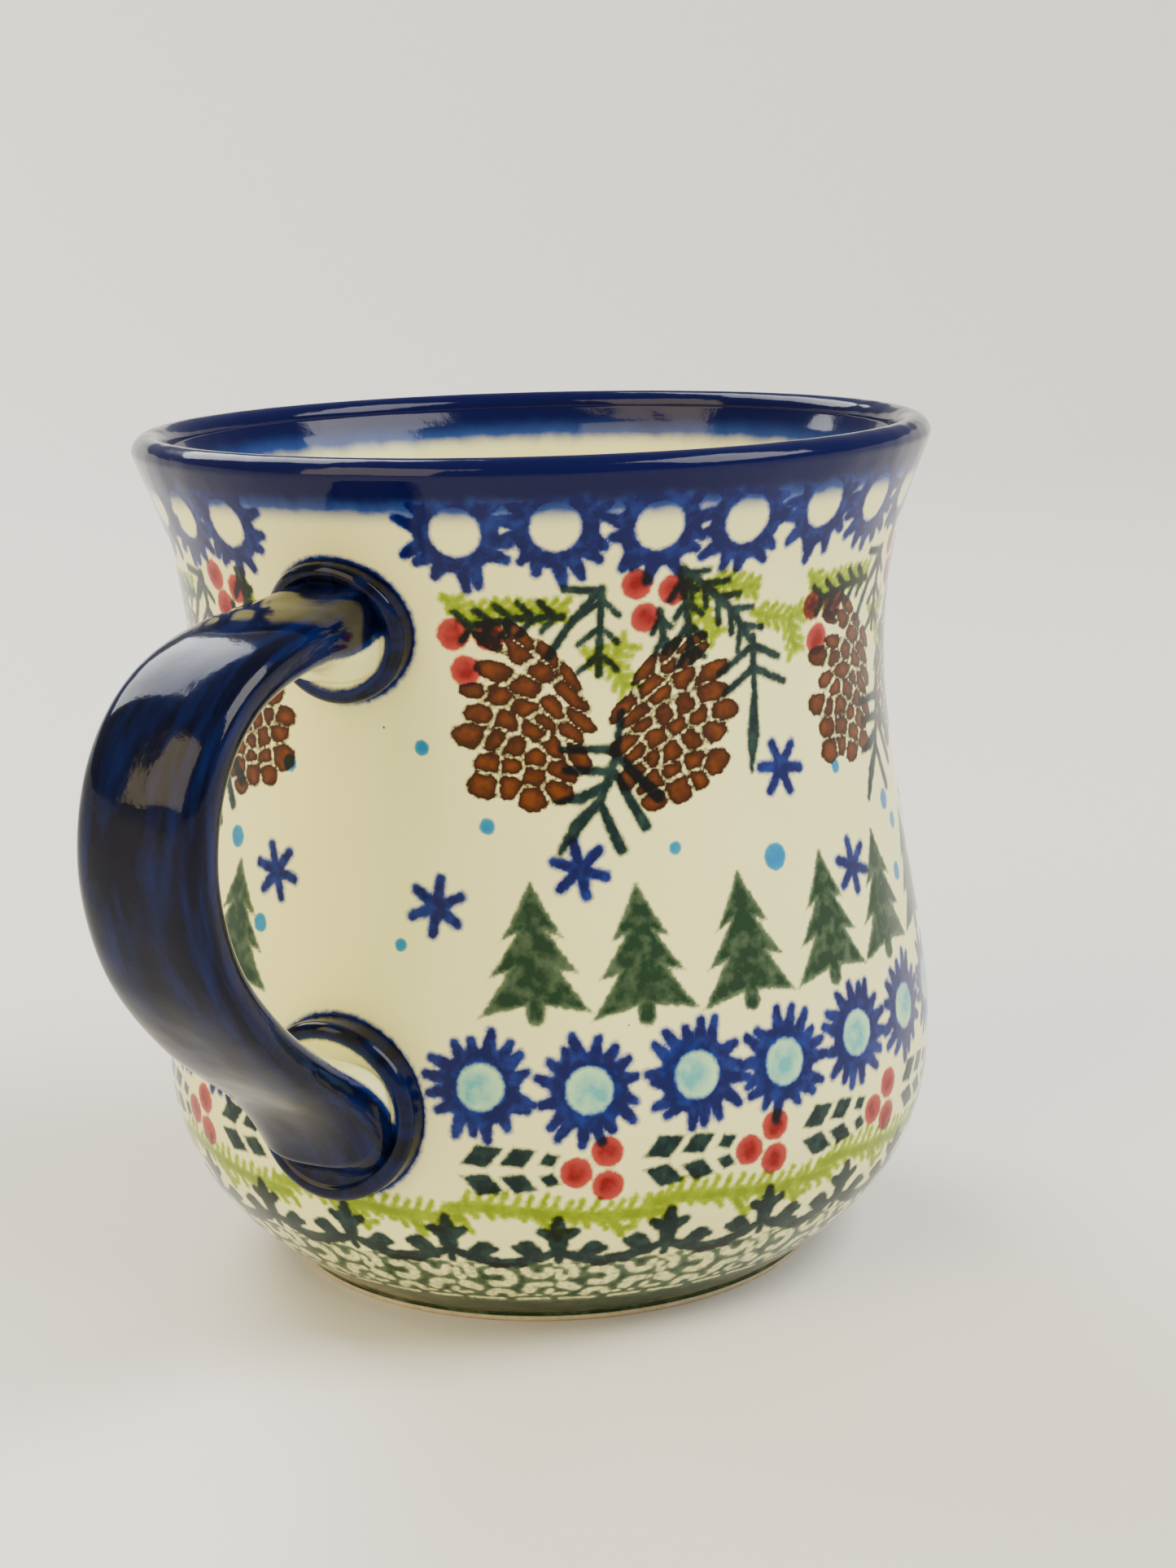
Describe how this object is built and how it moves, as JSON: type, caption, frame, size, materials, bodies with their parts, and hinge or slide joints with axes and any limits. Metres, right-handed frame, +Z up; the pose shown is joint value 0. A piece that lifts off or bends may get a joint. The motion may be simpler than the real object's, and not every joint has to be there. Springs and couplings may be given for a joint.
{
  "type": "stoneware mug",
  "caption": "Round-bellied stoneware mug with a flared lip, a waist, a small foot and a broad strap handle joined on by two oval collars; holds a hot drink.",
  "frame": {"origin": "on the surface the mug stands on, under the middle of the whole outline, cup and handle together; the cup's own axis stands 15.7 mm from it towards +X", "axes": "+Z up along the cup's axis, -X from the cup towards the handle, +Y across the handle"},
  "size_m": [0.1204, 0.089, 0.095],
  "materials": {
    "decorated_glaze": "clear gloss glaze over cream stoneware with sponge-stamped decoration and cobalt bands",
    "cobalt_glaze": "clear gloss glaze over brushed cobalt blue, bare cream on the side facing the cup"
  },
  "bodies": {
    "root": {"cup_body": "decorated_glaze", "handle": "cobalt_glaze", "upper_handle_collar": "cobalt_glaze", "lower_handle_collar": "cobalt_glaze"}
  },
  "joints": []
}
